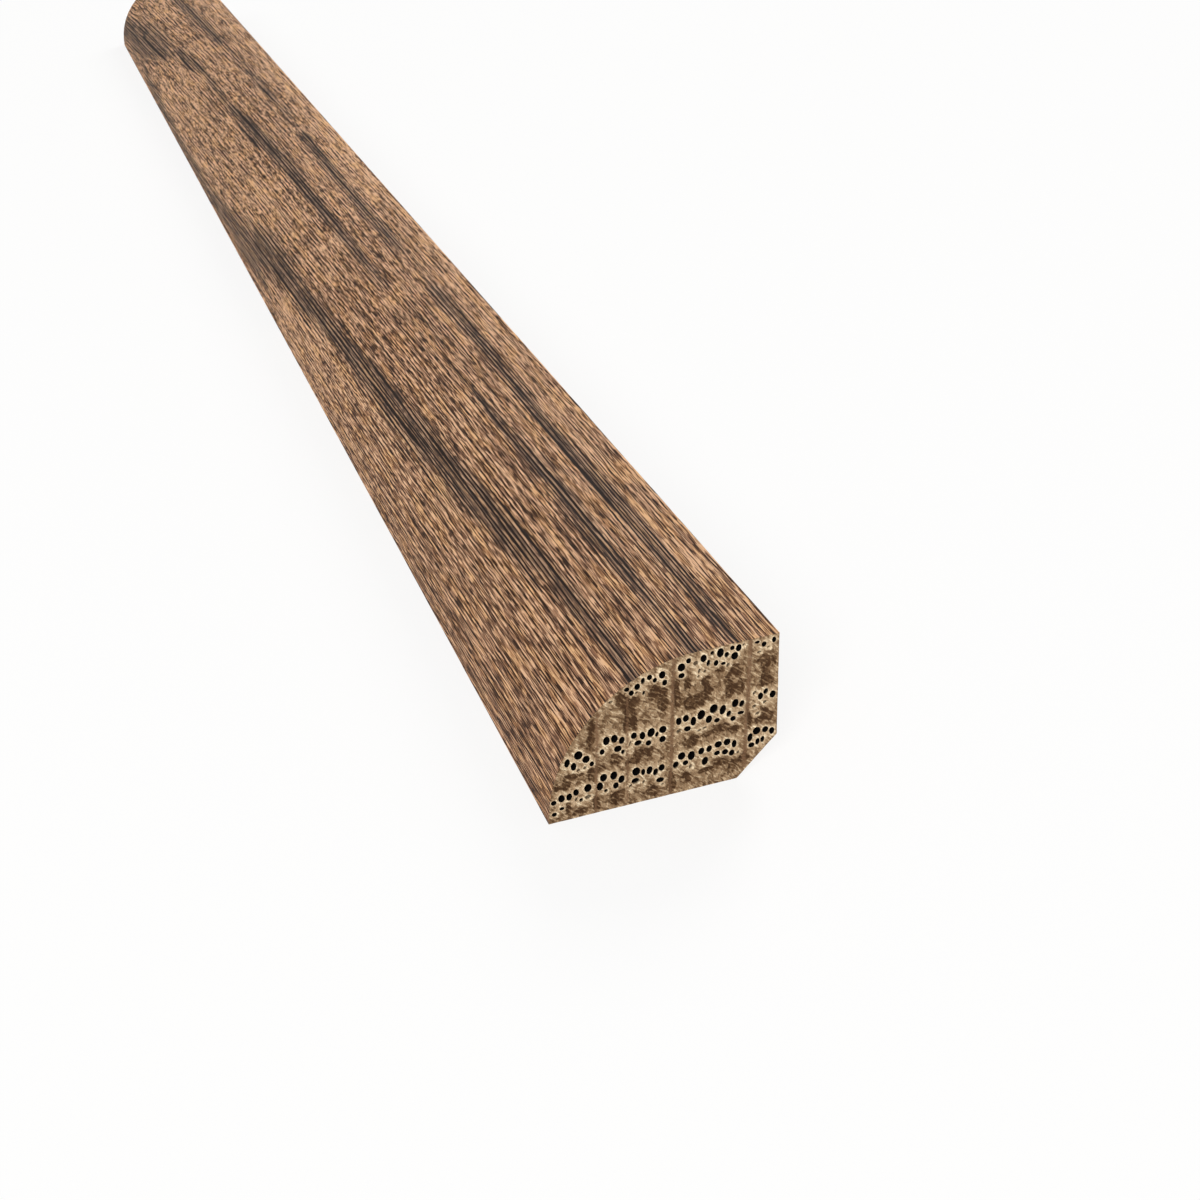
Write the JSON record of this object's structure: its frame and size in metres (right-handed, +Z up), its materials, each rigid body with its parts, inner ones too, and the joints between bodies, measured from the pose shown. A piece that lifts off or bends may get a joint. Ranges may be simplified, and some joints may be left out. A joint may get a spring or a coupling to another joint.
{
  "type": "shoe moulding",
  "caption": "Straight length of solid oak shoe moulding with a quarter-round face, a narrow flat top and a planed-off back corner.",
  "frame": {"origin": "middle of the rectangle that the stick covers on the floor, at floor level", "axes": "+X along the grain, +Y from the moulded front to the upright back, +Z up from the base to the top"},
  "size_m": [0.3048, 0.019, 0.0127],
  "materials": {
    "stained_oak": "brown stained, wire-brushed, matt lacquer"
  },
  "bodies": {
    "root": {"shoe_moulding": "stained_oak"}
  },
  "joints": []
}
